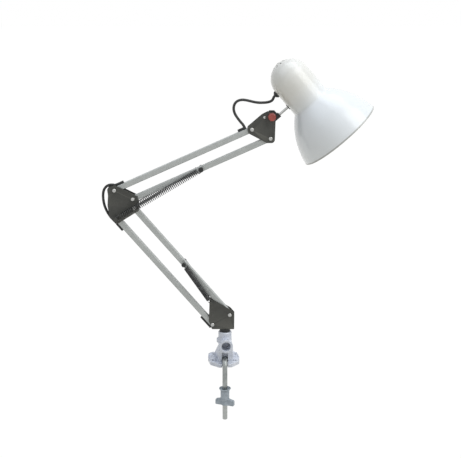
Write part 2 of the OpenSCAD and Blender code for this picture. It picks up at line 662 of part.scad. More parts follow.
head_outline = rounded([corner(head_left, -9.3, 3.8, 4.5), corner(head_left, -7.5, -7, 5),
    corner(head_right, -7.5, -8.6, 5), corner(head_right, 8, -8.6, 6.5), corner(knob_at, 7.6, 8, 5.5),
    corner(knob_at, -8, 8.8, 3), corner(rivet_at, -4.6, 4.6, 3)]);

module head_plate(y) color([0.29, 0.29, 0.28]) difference() {
    slab(head_outline, y, y + plate_t);
    for (p = [head_left, head_right]) across(p, bolt_d + 2 * snug, y - 1, y + plate_t + 1);
    across(knob_at, clamp_bolt_d + 2 * snug, y - 1, y + plate_t + 1);
    across(rivet_at, 3 + 2 * snug, y - 1, y + plate_t + 1);
}
module head_plate_front() head_plate(-plate_out);
module head_plate_back() head_plate(plate_in);
module head_bolts() color([0.75, 0.75, 0.75]) {
    for (p = [head_left, head_right]) bolt(p);
    across(rivet_at, 3, -plate_out - 0.2, plate_out + 0.2);
    domed_head(rivet_at, -plate_out, 5, 1.8);
    mirror([0, 1, 0]) domed_head(rivet_at, -plate_out, 5, 1.8);
}
module head_nuts() color([0.7, 0.7, 0.7]) for (p = [head_left, head_right]) nut(p);

// ---- head joint ----

knob_back = plate_out + 1.2;
module clamp_bolt() color([0.6, 0.6, 0.6]) {
    across(knob_at, clamp_bolt_d, -knob_back - knob_h + 3, plate_out);
    mirror([0, 1, 0]) domed_head(knob_at, -plate_out, 11, 3);
}
module friction_washers() color([0.2, 0.2, 0.2]) {
    for (y = [-plate_in + slack / 2, knuckle_t / 2 + slack / 2]) difference() {
        across(knob_at, knuckle_d * 0.7, y, y + plate_in - knuckle_t / 2 - slack);
        across(knob_at, clamp_bolt_d + 2 * snug, y - 1, y + plate_in);
    }
    difference() {
        across(knob_at, knob_d - 3, -knob_back + 0.2, -plate_out);
        across(knob_at, clamp_bolt_d + 2 * snug, -knob_back - 1, 0);
    }
}

// Round knob with finger flutes
flutes = 10;
module knob() color([0.65, 0.2, 0.2]) difference() {
    translate([knob_at.x, -knob_back, knob_at.y]) rotate([90, 0, 0]) rotate_extrude() polygon(concat(
        [[0, 0], [knob_d / 2 - 0.8, 0], [knob_d / 2, 0.8], [knob_d / 2 - 0.5, knob_h - 2]],
        [for (a = [0 : 15 : 90]) [knob_d / 2 - 2.5 + 2 * cos(a), knob_h - 2 + 2 * sin(a)]],
        [[0, knob_h - 0.6]]));
    for (k = [0 : flutes - 1]) across(knob_at + polar(knob_d / 2 + 1.1, 360 * (k + 0.5) / flutes), 3.4,
        -knob_back - knob_h - 1, -knob_back - 1.5, 24);
    across(knob_at, clamp_bolt_d + 2 * run, -knob_back - knob_h + 2.7, 0);
}

lug_l = 13.5;
lug_d = stem_d + 5;
module knuckle() color([0.16, 0.17, 0.17]) difference() {
    union() {
        translate([knob_at.x, knuckle_t / 2, knob_at.y]) rotate([90, 0, 0]) rotate([0, 0, 22.5])
            cylinder(d = knuckle_d, h = knuckle_t, $fn = 8);
        on_stem() translate([0, 0, -4]) cylinder(d = lug_d, h = lug_l + 4);
    }
    across(knob_at, clamp_bolt_d + 2 * run, -knuckle_t, knuckle_t);
    on_stem() translate([0, 0, -3]) cylinder(d = stem_d + 2 * snug, h = lug_l + 4);
}

neck_r = neck_d / 2;
stem_in = shade_reach - neck_r + shade_t + 7;
module stem() color([0.75, 0.76, 0.76]) on_stem() translate([0, 0, -3 + seat])
    cylinder(d = stem_d, h = stem_in + 3 - seat);
module stem_washer() color([0.15, 0.15, 0.15])
    on_stem() translate([0, 0, shade_reach - neck_r - seat - 1.6]) difference() {
    cylinder(d = stem_d + 6.5, h = 1.6);
    translate([0, 0, -1]) cylinder(d = stem_d + 2 * snug, h = 4);
}
nut_seat = shade_reach - sqrt(pow(neck_r - shade_t, 2) - pow(stem_d, 2)) + seat;
module stem_nut() color([0.7, 0.7, 0.7]) on_stem() translate([0, 0, nut_seat]) difference() {
    cylinder(d = stem_d * 1.8, h = 4, $fn = 6);
    translate([0, 0, -1]) cylinder(d = stem_d + 2 * snug, h = 6);
}

// ---- shade and lamp ----

rim_r = rim_d / 2;
rim_s = neck_h + bell_h;
// Half outline of the spun shade, set in by t
function shade_line(t) = concat(
    [for (a = [90 : -5 : 0]) let (r = neck_r - t) [r * cos(a), -r * sin(a)]],
    [[neck_r - t, neck_h - 1]],
    [for (p = swollen([neck_r - t, neck_h + 0.5], [rim_r - t, rim_s], -bell_swell, 16)) p]);

module shade() color([0.92, 0.93, 0.92]) in_shade() difference() {
    union() {
        rotate_extrude($fn = 96) polygon(concat(shade_line(0),
            [for (i = [len(shade_line(0)) - 1 : -1 : 0]) shade_line(shade_t)[i]]));
        rotate_extrude($fn = 96) translate([rim_r - shade_t / 2, rim_s]) circle(r = rim_bead, $fn = 24);
    }
    for (k = [0 : vents - 1]) rotate([0, 0, 360 * (k + 0.5) / vents])
        translate([7.5, -1.2, -neck_r - 1]) cube([6.5, 2.4, 8]);
    translate([0, 0, -neck_r - 1]) cylinder(d = 4.2, h = 6);
    translate([neck_r - 4, 0, gland_s]) rotate([0, 90, 0]) cylinder(d = flex_d + 4.4, h = 8);
    translate([neck_r - 4, 0, stem_entry]) rotate([0, 90, 0]) cylinder(d = stem_d + 2 * run, h = 8);
}

// Grommet where the flex enters the neck
module cable_gland() color([0.13, 0.13, 0.13])
    in_shade() translate([neck_r, 0, gland_s]) rotate([0, 90, 0]) difference() {
    rotate_extrude() polygon([[0, -3.4], [flex_d / 2 + 3, -3.4], [flex_d / 2 + 3.6, -2.2],
        [flex_d / 2 + 2.1, -2.2], [flex_d / 2 + 2.1, 0.1], [flex_d / 2 + 5, 0.1], [flex_d / 2 + 5, 2.8],
        [flex_d / 2 + 3.4, 4.4], [flex_d / 2 + 1.6, gland_out], [0, gland_out]]);
    translate([0, 0, -5]) cylinder(d = flex_d + 0.1, h = gland_out + 6);
}

holder_s = -neck_r + shade_t + 23;
module apex_screw() color([0.7, 0.7, 0.7]) in_shade() {
    translate([0, 0, -neck_r - 0.05]) rotate([180, 0, 0]) rotate_extrude()
        polygon(concat([[0, 0]],
            [for (a = [0 : 15 : 90]) [3.6 * cos(a), 1.8 * (0.3 * sign(a) + 0.7 * sin(a))]]));
    translate([0, 0, -neck_r - 0.1]) cylinder(d = 4, h = 14);
}
module holder_standoff() color([0.8, 0.8, 0.78]) in_shade() difference() {
    translate([0, 0, -sqrt(pow(neck_r - shade_t, 2) - 49) + snug])
        cylinder(d = 14, h = holder_s + sqrt(pow(neck_r - shade_t, 2) - 49) - snug);
    translate([0, 0, -neck_r]) cylinder(d = 4 + 2 * snug, h = 16);
}
cap_r = 13.3;
module lampholder() color([0.12, 0.12, 0.12]) in_shade() difference() {
    translate([0, 0, holder_s]) rotate_extrude() polygon([[0, 0], [holder_d / 2 - 5, 0],
        [holder_d / 2 - 1, 4], [holder_d / 2, 6], [holder_d / 2, 24], [holder_d / 2 - 1.5, 25],
        [holder_d / 2 - 1.5, holder_h], [0, holder_h]]);
    translate([0, 0, holder_s + holder_h - 30]) cylinder(r = cap_r + 0.3, h = 31);
    translate([8, 0, gland_s]) rotate([0, 90, 0]) cylinder(d = flex_d + 0.2, h = holder_d);
}
bulb_s = holder_s + holder_h;
module bulb_cap() color([0.75, 0.75, 0.72]) in_shade() translate([0, 0, bulb_s - 26]) {
    translate([0, 0, -3]) cylinder(d1 = 9, d2 = 16, h = 3);
    cylinder(r = cap_r, h = 26);
}
// Pear shaped bulb: a tapering neck under a ball
module bulb_glass() color([0.95, 0.95, 0.92]) in_shade() translate([0, 0, bulb_s]) {
    r = bulb_d / 2;
    top = r * 1.55;
    rotate_extrude() difference() {
        polygon(concat([[0, 0.1], [cap_r - 0.4, 0.1]],
            [for (k = [0 : 12]) let (a = -45 + 135 * k / 12) [r * cos(a), top + r * sin(a)]]));
        polygon(concat([[-1, 1.2], [cap_r - 1.4, 1.2]],
            [for (k = [0 : 12]) let (a = -45 + 135 * k / 12) [(r - 0.9) * cos(a), top + (r - 0.9) * sin(a)]],
            [[-1, top + r - 0.9]]));
    }
}

// ---- flex ----

// Routes of the two free loops in the arms' plane, as [x, z], drawn with the lowest pivot at route_foot
route_foot = 84.5;
function lifted(route) = [for (p = route) p + [0, foot_left.y - route_foot]];
head_route = lifted([[96.5, 545.5], [94.8, 543.6], [93.7, 541], [92.4, 538.4], [89.9, 536], [85.9, 534.2],
    [80.1, 533], [73.5, 532.6], [66, 532.6], [58, 533.6], [50, 535.4], [42, 537.2], [34.1, 538],
    [26.9, 536.6], [21.3, 532.8], [18.1, 526.8], [17.5, 519.6], [19.3, 512.4], [22.9, 505.9],
    [27.1, 500], [31.3, 494.8], [34.9, 490.8], [37.8, 486.1]]);
elbow_route = lifted([[-216.4, 371.3], [-221.1, 371.8], [-226.9, 371.2], [-232.1, 368.6], [-236.1, 364.2],
    [-238.5, 358.4], [-239.5, 351.6], [-239.5, 344.4], [-238.7, 337], [-237.1, 329.6], [-234.5, 322.2],
    [-231.1, 315], [-226.9, 308.4], [-222.3, 302.8], [-217.7, 297.8], [-213.5, 293.3]]);
head_splits = [9, 13];
elbow_split = 7;
function in_space(route) = [for (p = route) [p.x, 0, p.y]];
function stretch(list, first, last) = [for (i = [first : last]) list[i]];
module loop(route, first, last) color([0.15, 0.15, 0.15]) swept(stretch(in_space(route), first, last), flex_d, 8,
    along_dirs = stretch(directions(in_space(route)), first, last));

// Flex from the lampholder out through the gland
module flex_head() color([0.15, 0.15, 0.15]) in_shade() translate([9, 0, gland_s]) rotate([0, 90, 0])
    cylinder(d = flex_d, h = neck_r + gland_out - 9);
module flex_head_loop() loop(head_route, 0, head_splits[0]);
module flex_knuckle_loop() loop(head_route, head_splits[0], head_splits[1]);
module flex_bracket_loop() loop(head_route, head_splits[1], len(head_route) - 1);
module flex_upper() color([0.15, 0.15, 0.15]) along(elbow_top, upper_slope) upper_flex_shape(flex_d);
module flex_elbow_loop() loop(elbow_route, 0, elbow_split);
module flex_lower_loop() loop(elbow_route, elbow_split, len(elbow_route) - 1);
module flex_lower() color([0.15, 0.15, 0.15]) along(foot_left, left_angle) lower_flex_shape(flex_d);

base_casting();
post_bush();
post_lock_screw();
hook_rod();
clamp_pad();
wing_nut();
post();
post_collar();
lower_bracket();
lower_bolts();
lower_nuts();
lower_anchor_studs();
lower_left_tube();
lower_right_tube();
lower_left_bushes();
lower_right_bushes();
lower_spring_pin();
lower_spring_front();
lower_spring_back();
lower_cable_clips();
elbow_plate_front();
elbow_plate_back();
elbow_bolts();
elbow_nuts();
spring_anchor_bolt();
anchor_spacers();
upper_top_tube();
upper_bottom_tube();
upper_top_bushes();
upper_bottom_bushes();
upper_spring_pin();
upper_spring_front();
upper_spring_back();
upper_cable_clips();
head_plate_front();
head_plate_back();
head_bolts();
head_nuts();
clamp_bolt();
friction_washers();
knob();
knuckle();
stem();
stem_washer();
stem_nut();
shade();
cable_gland();
apex_screw();
holder_standoff();
lampholder();
bulb_cap();
bulb_glass();
flex_head();
flex_head_loop();
flex_knuckle_loop();
flex_bracket_loop();
flex_upper();
flex_elbow_loop();
flex_lower_loop();
flex_lower();
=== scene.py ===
from math import atan2, cos, degrees, pi, radians, sin

import bmesh
import bpy
from mathutils import Matrix, Vector


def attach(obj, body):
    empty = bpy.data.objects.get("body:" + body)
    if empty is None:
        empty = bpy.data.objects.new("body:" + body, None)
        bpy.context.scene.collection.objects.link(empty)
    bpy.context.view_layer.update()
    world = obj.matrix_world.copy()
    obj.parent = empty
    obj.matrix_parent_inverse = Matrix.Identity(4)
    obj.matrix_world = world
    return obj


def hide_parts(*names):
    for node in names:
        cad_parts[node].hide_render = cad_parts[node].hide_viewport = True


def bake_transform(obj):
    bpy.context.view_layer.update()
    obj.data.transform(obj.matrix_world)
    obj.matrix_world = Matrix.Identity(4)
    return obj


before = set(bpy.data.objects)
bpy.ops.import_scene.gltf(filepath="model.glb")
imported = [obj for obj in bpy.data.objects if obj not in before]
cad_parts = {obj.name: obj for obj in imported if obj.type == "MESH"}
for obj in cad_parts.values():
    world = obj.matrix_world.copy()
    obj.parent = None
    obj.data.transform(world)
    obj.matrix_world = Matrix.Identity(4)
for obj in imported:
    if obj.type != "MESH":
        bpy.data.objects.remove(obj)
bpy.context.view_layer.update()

mm = 0.001

# The arms as they stand: x and z in millimetres from the post's foot on the desk, slopes in degrees from
# level, and lengths from pivot to pivot.
arms = {
    "foot": (-25, 84.5), "footGap": 40.5, "footSlope": 30.5,  # the two pivots in the lower bracket
    "lowerSlope": 130.5, "lowerLength": 291,
    "elbowRise": (-2.5, 55.7), "elbowGap": 40, "elbowSlope": -26,  # the pivots between the elbow's plates
    "upperSlope": 24.0, "upperLength": 295,
    "lowerPin": 141, "upperPin": 147, "springStud": (-2.5, 48),  # what the springs hook on
    "knob": (38, 25),
}
# The shade, up here because its enamel follows its form. Its place is given from the knob, along its own
# axis and across it. Radii and depths in millimetres are those of its outer side, and depths start where
# dome and neck meet.
shade = {
    "tilt": 48.6, "along": -29.7, "across": 74,
    "neckRadius": 37.8, "neckLength": 57.5, "rimRadius": 84.0, "bellDepth": 86.0, "swell": 8.4,
    "thickness": 1.0,
    "rimInset": 0.1, "rimRoll": (0.7, 1.26),  # the bead rolled outwards at the rim, across and along
    "crease": (0.25, -0.2),  # how the bell leaves the neck, across and along
    "vents": 8, "ventReach": (7.5, 14), "ventHalfAngle": 7.5,
    "turnSteps": 96, "bellRings": 20, "neckRings": (6, 22, 40, 52, 56),
    "domeAngles": (0, 3, 7, 11.44, 14, 18, 21.74, 26, 31, 36, 41, 46, 52, 58, 64, 70, 76, 82, 87, 90),
    "rollAngles": (45, 90, 135, 180),
}


def stepped(start, length, slope):
    return start[0] + length * cos(radians(slope)), start[1] + length * sin(radians(slope))


def shifted(start, offset):
    return start[0] + offset[0], start[1] + offset[1]


def fromPlane(point, y=0.0):
    # a place in the arms' plane as a point in metres
    return Vector((point[0], y, point[1])) * mm


footLeft = arms["foot"]
footRight = stepped(footLeft, arms["footGap"], arms["footSlope"])
elbowLow = stepped(footLeft, arms["lowerLength"], arms["lowerSlope"])
elbowTop = shifted(elbowLow, arms["elbowRise"])
elbowRight = stepped(elbowTop, arms["elbowGap"], arms["elbowSlope"])
headLeft = stepped(elbowTop, arms["upperLength"], arms["upperSlope"])
knobAt = shifted(headLeft, arms["knob"])
lowerPin = stepped(footRight, arms["lowerPin"], arms["lowerSlope"])
upperPin = stepped(elbowRight, arms["upperPin"], arms["upperSlope"])
springStud = shifted(footLeft, arms["springStud"])
shadeAt = stepped(stepped(knobAt, shade["along"], -shade["tilt"]), shade["across"], 90 - shade["tilt"])
shadeAxis = Vector((cos(radians(shade["tilt"])), 0, -sin(radians(shade["tilt"]))))
shadeStart = shadeAxis.dot(fromPlane(shadeAt))
rimDepth = (shade["neckLength"] + shade["bellDepth"]) * mm


camera = {"place": (0.0113, -1.880, 0.744), "pitch": 13.8, "lens": 76.14, "sensor": 36, "clipEnd": 100}


def setCamera():
    data = bpy.data.cameras.new("photoCamera")
    data.lens, data.sensor_width, data.sensor_fit = camera["lens"], camera["sensor"], "HORIZONTAL"
    data.clip_end = camera["clipEnd"]
    holder = bpy.data.objects.new("photoCamera", data)
    holder.location = camera["place"]
    holder.rotation_euler = (radians(90 - camera["pitch"]), 0, 0)
    bpy.context.scene.collection.objects.link(holder)
    bpy.context.scene.camera = holder


setCamera()
print("camera ready")


# Each finish gives the shader's own values, two tones and the noise that drifts between them, tints over
# those, and a relief whose noise also spreads the roughness. Scales are in cells per metre, so 1000 over the
# real size in millimetres; heights, reaches and places are in metres. Below 2 mm a relief is too fine for a
# picture of the whole lamp, and only softens the gloss.
looks = {
    # stoved white gloss enamel on spun steel: wide soft highlights, and an orange peel drawn as coarse as
    # 2 mm. Dome and neck are left warmer and the bell painted cooler, a painted tint of reflected light,
    # and the rolled rim is painted darker, painted shade under the rim.
    "whiteEnamel": {
        "shader": {"Coat Weight": 0.35, "Coat Roughness": 0.14},
        "tones": ("#E8E9E5", "#F1F2EF"), "drift": 22,
        # the bell painted cooler than dome and neck: a painted tint of reflected light
        "tints": [{"where": "alongShade", "tones": ("#EAF0F5", "#F4F9FD"), "limits": (0.02, 0.065)},
                  # painted shade under the rolled rim
                  {"where": "alongShade", "tone": "#A8A9A3", "limits": (rimDepth - 0.0024, rimDepth - 0.001),
                   "share": 0.8}],
        "relief": {"scale": 480, "detail": 2.0, "height": 0.00004, "strength": 0.25}, "rough": (0.2, 0.3)},
    # satin silver-grey paint on drawn steel tube: flakes of 0.7 mm, and painted shade on the undersides
    "silverPaint": {
        "shader": {"Metallic": 0.35},
        "tones": ("#B4B8B7", "#BEC2C1"), "drift": 90,
        "tints": [{"where": "undersides", "tone": "#55595A", "limits": (-0.15, -0.75), "share": 0.85}],
        "relief": {"scale": 1500, "height": 0.00002, "strength": 0.15}, "rough": (0.36, 0.5)},
    # anthracite powder coat on pressed plate: dull, a pebble of 0.7 mm, rubbed paler on its edges
    "darkPowderCoat": {
        "shader": {"Specular IOR Level": 0.4},
        "tones": ("#464744", "#4F504D"), "drift": 60,
        "tints": [{"where": "edges", "tone": "#75756F", "limits": (0.52, 0.62), "share": 0.6}],
        "relief": {"scale": 1400, "height": 0.00005, "strength": 0.4}, "rough": (0.46, 0.62)},
    # tumbled zinc casting: cool pale grey, a grain of 1.3 mm, edges paler from wear and a painted highlight,
    # and painted shade in the hollows
    "castZinc": {
        "shader": {"Metallic": 0.1, "Specular IOR Level": 0.35},
        "tones": ("#CED5E4", "#E9EEF8"), "drift": 70,
        "tints": [{"where": "edges", "tone": "#F0F4F8", "limits": (0.51, 0.58), "share": 0.6},
                  {"where": "hollows", "tone": "#43474B", "reach": 0.014, "limits": (0.62, 0.25)}],
        "relief": {"scale": 750, "detail": 4.0, "height": 0.00012, "strength": 0.25}, "rough": (0.3, 0.5)},
    # the clamp's nut and pad: the same casting painted darker, a shaded copy, with a painted highlight on
    # the edges and painted shade in the hollows
    "shadedCastZinc": {
        "shader": {"Metallic": 0.3},
        "tones": ("#8E99A3", "#AAB4BD"), "drift": 90,
        "tints": [{"where": "edges", "tone": "#DCE4EA", "limits": (0.52, 0.6), "share": 0.6},
                  {"where": "hollows", "tone": "#55595D", "reach": 0.012, "limits": (0.7, 0.3)}],
        "relief": {"scale": 900, "detail": 4.0, "height": 0.0001, "strength": 0.45}, "rough": (0.34, 0.54)},
    # oiled black spring wire: a dark sheen along each curl
    "blackedSpringWire": {
        "shader": {"Metallic": 0.8},
        "tones": ("#3C3D3D", "#5A5B5B"), "drift": 160,
        "relief": {"scale": 2200, "height": 0.00001, "strength": 0.3}, "rough": (0.28, 0.42)},
    # bright nickel on bolt heads, nuts and stem: a soft mirror with light scratches
    "nickelPlate": {
        "shader": {"Metallic": 1.0},
        "tones": ("#A3A4A1", "#BABAB7"), "drift": 300,
        "relief": {"scale": 2600, "height": 0.000008, "strength": 0.3}, "rough": (0.22, 0.36)},
    # zinc-washed drawn rod: grey, with lines 0.7 mm apart round it, and a low end painted paler, a painted
    # highlight
    "rolledSteelRod": {
        "shader": {"Metallic": 0.85},
        "tones": ("#888C8B", "#A4A8A7"), "drift": 120,
        "tints": [{"where": "height", "tone": "#D2D4D0", "limits": (-0.072, -0.080), "share": 0.35}],
        "relief": {"scale": 1.0, "stretch": (60, 60, 1500), "height": 0.00002, "strength": 0.35},
        "rough": (0.3, 0.46)},
    # extruded black PVC sheath of the flex: a soft sheen
    "blackSheath": {
        "shader": {"IOR": 1.53, "Specular IOR Level": 0.45},
        "tones": ("#262726", "#313231"), "drift": 140,
        "relief": {"scale": 1800, "height": 0.00002, "strength": 0.2}, "rough": (0.38, 0.5)},
    # moulded black nylon: the fine matt of a spark-eroded mould
    "blackNylon": {
        "shader": {"IOR": 1.53, "Specular IOR Level": 0.4},
        "tones": ("#222424", "#2E3030"), "drift": 200,
        "relief": {"scale": 2600, "height": 0.00004, "strength": 0.35}, "rough": (0.45, 0.62)},
    # moulded red ABS: a satin gloss, faded a little in places
    "redAbs": {
        "shader": {"IOR": 1.54, "Coat Weight": 0.25, "Coat Roughness": 0.2},
        "tones": ("#983C34", "#A94A40"), "drift": 180,
        "relief": {"scale": 2000, "height": 0.00003, "strength": 0.25}, "rough": (0.3, 0.42)},
    # black phenolic of the lampholder: a hard gloss
    "bakelite": {
        "shader": {"IOR": 1.6, "Coat Weight": 0.3},
        "tones": ("#1C1B1A", "#282624"), "drift": 120,
        "relief": {"scale": 900, "height": 0.00003, "strength": 0.2}, "rough": (0.25, 0.4)},
    # glazed porcelain of the standoff: bright and smooth
    "whitePorcelain": {
        "shader": {"IOR": 1.5, "Coat Weight": 0.6, "Coat Roughness": 0.05},
        "tones": ("#E4E2DC", "#F0EFEA"), "drift": 160,
        "relief": {"scale": 500, "height": 0.00003, "strength": 0.2}, "rough": (0.15, 0.25)},
    # thin rolled aluminium of the bulb's cap: pale, with a soft shine
    "rolledAluminium": {
        "shader": {"Metallic": 1.0},
        "tones": ("#B9B8B2", "#CBCAC5"), "drift": 200,
        "relief": {"scale": 1600, "height": 0.00002, "strength": 0.3}, "rough": (0.28, 0.42)},
    # glass frosted inside: milky, and smooth outside
    "frostedGlass": {
        "shader": {"IOR": 1.5, "Transmission Weight": 0.35, "Coat Weight": 0.6, "Coat Roughness": 0.04},
        "tones": ("#EDEDE8", "#F7F7F3"), "drift": 60,
        "relief": {"scale": 1500, "height": 0.00002, "strength": 0.2}, "rough": (0.3, 0.45)},
}
driftNoise = {"Detail": 5.0, "Roughness": 0.6}
driftLimits = (0.35, 0.65)
reliefDetail = 3.0


def hexColour(code):
    # sRGB code to the linear values that Blender's sockets take
    parts = [int(code[i:i + 2], 16) / 255 for i in (1, 3, 5)]
    return tuple(c / 12.92 if c <= 0.04045 else ((c + 0.055) / 1.055) ** 2.4 for c in parts) + (1.0,)


def addNode(tree, kind, values=None, links=None, **settings):
    made = tree.nodes.new("ShaderNode" + kind)
    for name, value in settings.items():
        setattr(made, name, value)
    for name, value in (values or {}).items():
        made.inputs[name].default_value = value
    for name, socket in (links or {}).items():
        tree.links.new(socket, made.inputs[name])
    return made


def betweenTones(tree, drift, tones, limits=(0, 1)):
    # one tone below the first limit of the noise, the other above the second
    ramp = addNode(tree, "ValToRGB", links={"Fac": drift})
    for stop, tone, limit in zip(ramp.color_ramp.elements, tones, limits):
        stop.position, stop.color = limit, hexColour(tone)
    return ramp.outputs["Color"]


def tintSource(tree, place, tint):
    # what a tint follows over the surface
    # pointiness: edges paler from wear, and on the castings also a painted highlight
    if tint["where"] == "edges":
        return addNode(tree, "NewGeometry").outputs["Pointiness"]
    # ambient occlusion, for painted shade in the castings' hollows
    if tint["where"] == "hollows":
        return addNode(tree, "AmbientOcclusion", {"Distance": tint["reach"]}, samples=8,
                       only_local=True).outputs["AO"]
    # depth along the shade's axis, for its painted tint of reflected light and painted shade at the rim
    if tint["where"] == "alongShade":
        return addNode(tree, "VectorMath", {1: shadeAxis}, {0: place},
                       operation="DOT_PRODUCT").outputs["Value"]
    # a face's normal for painted shade on undersides, else the height, for the rod's painted highlight
    vector = addNode(tree, "NewGeometry").outputs["Normal"] if tint["where"] == "undersides" else place
    return addNode(tree, "SeparateXYZ", links={"Vector": vector}).outputs["Z"]


def tinted(tree, colour, place, tint, drift):
    # moves the colour to the tint as its source goes from the first limit to the second
    origin = shadeStart if tint["where"] == "alongShade" else 0
    first, second = (origin + limit for limit in tint["limits"])
    share = tint.get("share", 1.0)
    amount = addNode(tree, "MapRange", {"From Min": first, "From Max": second, "To Max": share},
                     {"Value": tintSource(tree, place, tint)})
    mixed = addNode(tree, "Mix", links={0: amount.outputs["Result"], 6: colour}, data_type="RGBA")
    if "tones" in tint:
        tree.links.new(betweenTones(tree, drift, tint["tones"]), mixed.inputs[7])
    else:
        mixed.inputs[7].default_value = hexColour(tint["tone"])
    return mixed.outputs[2]


def makeFinish(name, look):
    material = bpy.data.materials.new(name)
    material.use_nodes = True
    tree = material.node_tree
    shader = tree.nodes["Principled BSDF"]
    for socket, value in look["shader"].items():
        shader.inputs[socket].default_value = value
    place = addNode(tree, "TexCoord").outputs["Object"]

    drift = addNode(tree, "TexNoise", {"Scale": look["drift"], **driftNoise},
                    {"Vector": place}).outputs["Fac"]
    colour = betweenTones(tree, drift, look["tones"], driftLimits)
    for tint in look.get("tints", ()):
        colour = tinted(tree, colour, place, tint, drift)
    tree.links.new(colour, shader.inputs["Base Color"])

    relief = look["relief"]
    detail = relief.get("detail", reliefDetail)
    if "stretch" in relief:
        place = addNode(tree, "Mapping", {"Scale": relief["stretch"]}, {"Vector": place}).outputs["Vector"]
    grain = addNode(tree, "TexNoise", {"Scale": relief["scale"], "Detail": detail},
                    {"Vector": place}).outputs["Fac"]
    bump = addNode(tree, "Bump", {"Distance": relief["height"], "Strength": relief["strength"]},
                   {"Height": grain})
    tree.links.new(bump.outputs["Normal"], shader.inputs["Normal"])
    smooth, dull = look["rough"]
    spread = addNode(tree, "MapRange", {"To Min": smooth, "To Max": dull}, {"Value": grain})
    tree.links.new(spread.outputs["Result"], shader.inputs["Roughness"])
    return material


finishes = {name: makeFinish(name, look) for name, look in looks.items()}
print("finishes ready")


# the finish of each CAD node that shows as it is
nodeFinishes = {
    "castZinc": ["base_casting"],
    # the nut and pad painted darker than the base casting: a shaded copy of the same zinc
    "shadedCastZinc": ["clamp_pad", "wing_nut"],
    "blackNylon": ["post_bush", "post_collar", "lower_left_bushes", "lower_right_bushes", "upper_top_bushes",
                   "upper_bottom_bushes", "friction_washers", "knuckle", "stem_washer", "cable_gland",
                   "lower_cable_clips", "upper_cable_clips", "lower_spring_pin", "upper_spring_pin"],
    "rolledSteelRod": ["hook_rod", "post", "post_lock_screw", "clamp_bolt"],
    "nickelPlate": ["lower_bolts", "lower_nuts", "elbow_bolts", "elbow_nuts", "head_bolts", "head_nuts",
                    "stem_nut", "apex_screw", "stem"],
    "darkPowderCoat": ["lower_bracket", "elbow_plate_front", "elbow_plate_back", "head_plate_front",
                       "head_plate_back", "spring_anchor_bolt", "anchor_spacers", "lower_anchor_studs"],
    "silverPaint": ["lower_left_tube", "lower_right_tube", "upper_top_tube", "upper_bottom_tube"],
    "redAbs": ["knob"],
    "bakelite": ["lampholder"],
    "whitePorcelain": ["holder_standoff"],
    "rolledAluminium": ["bulb_cap"],
    "frostedGlass": ["bulb_glass"],
}
# the castings' skins: voxel in millimetres and rounds of smoothing
castSkins = {"base_casting": (0.6, 3), "clamp_pad": (0.45, 2), "wing_nut": (0.5, 4)}
# broken edges of sheet, moulded and turned nodes, by their width in millimetres and segments
brokenEdges = {
    (0.8, 3): ["knuckle"],
    (0.6, 2): ["lampholder", "holder_standoff"],
    (0.5, 3): ["lower_bracket", "elbow_plate_front", "elbow_plate_back", "head_plate_front",
               "head_plate_back"],
    (0.5, 2): ["lower_cable_clips", "upper_cable_clips", "post_collar", "post_bush"],
    (0.4, 2): ["stem_washer"],
    (0.3, 2): ["friction_washers", "hook_rod", "lower_nuts", "elbow_nuts", "head_nuts", "stem_nut",
               "anchor_spacers", "spring_anchor_bolt", "lower_anchor_studs", "lower_spring_pin",
               "upper_spring_pin"],
}
softening = {"weldGap": 0.00001, "smoothing": 0.5, "edgeAngle": 40}


def dressNodes():
    for finish, names in nodeFinishes.items():
        for name in names:
            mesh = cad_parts[name].data
            mesh.materials.clear()
            mesh.materials.append(finishes[finish])


def welded(name):
    # a node comes as loose triangles, and has edges to work on only once they are joined
    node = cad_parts[name]
    node.modifiers.new("weld", "WELD").merge_threshold = softening["weldGap"]
    return node


def softenNodes():
    for name, (voxel, rounds) in castSkins.items():
        node = welded(name)
        skin = node.modifiers.new("skin", "REMESH")
        skin.mode, skin.voxel_size, skin.use_smooth_shade = "VOXEL", voxel * mm, True
        smooth = node.modifiers.new("smooth", "SMOOTH")
        smooth.factor, smooth.iterations = softening["smoothing"], rounds
    for (width, segments), names in brokenEdges.items():
        for name in names:
            bevel = welded(name).modifiers.new("brokenEdges", "BEVEL")
            bevel.width, bevel.segments = width * mm, segments
            bevel.limit_method, bevel.angle_limit = "ANGLE", radians(softening["edgeAngle"])


dressNodes()
softenNodes()
print("CAD nodes dressed")


def addPiece(name, mesh, finish, replaces, body=None, sharp=35):
    mesh.name = name
    mesh.materials.clear()
    mesh.materials.append(finishes[finish])
    mesh.shade_smooth()
    mesh.set_sharp_from_angle(angle=radians(sharp))
    piece = bpy.data.objects.new(name, mesh)
    bpy.context.scene.collection.objects.link(piece)
    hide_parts(*replaces)
    if body:
        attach(piece, body)
    return piece


def sweptMesh(points, diameter, sides):
    # one unbroken round tube through the points
    line = bpy.data.curves.new("line", "CURVE")
    line.dimensions, line.bevel_depth = "3D", diameter / 2
    line.bevel_resolution, line.use_fill_caps = sides // 2 - 2, True  # resolution 0 has four sides
    spline = line.splines.new("POLY")
    spline.points.add(len(points) - 1)
    for spot, point in zip(spline.points, points):
        spot.co = (*point, 1)
    holder = bpy.data.objects.new("line", line)
    bpy.context.scene.collection.objects.link(holder)
    mesh = bpy.data.meshes.new_from_object(holder.evaluated_get(bpy.context.evaluated_depsgraph_get()))
    bpy.data.objects.remove(holder)
    bpy.data.curves.remove(line)
    return mesh


def smoothRoute(points, steps):
    # a smooth line through every point
    padded = [points[0] * 2 - points[1], *points, points[-1] * 2 - points[-2]]
    route = []
    for a, b, c, d in zip(padded, padded[1:], padded[2:], padded[3:]):
        for k in range(steps):
            t = k / steps
            route.append(0.5 * (2 * b + (c - a) * t + (2 * a - 5 * b + 4 * c - d) * t * t
                                + (3 * b - a - 3 * c + d) * t ** 3))
    return route + [points[-1]]


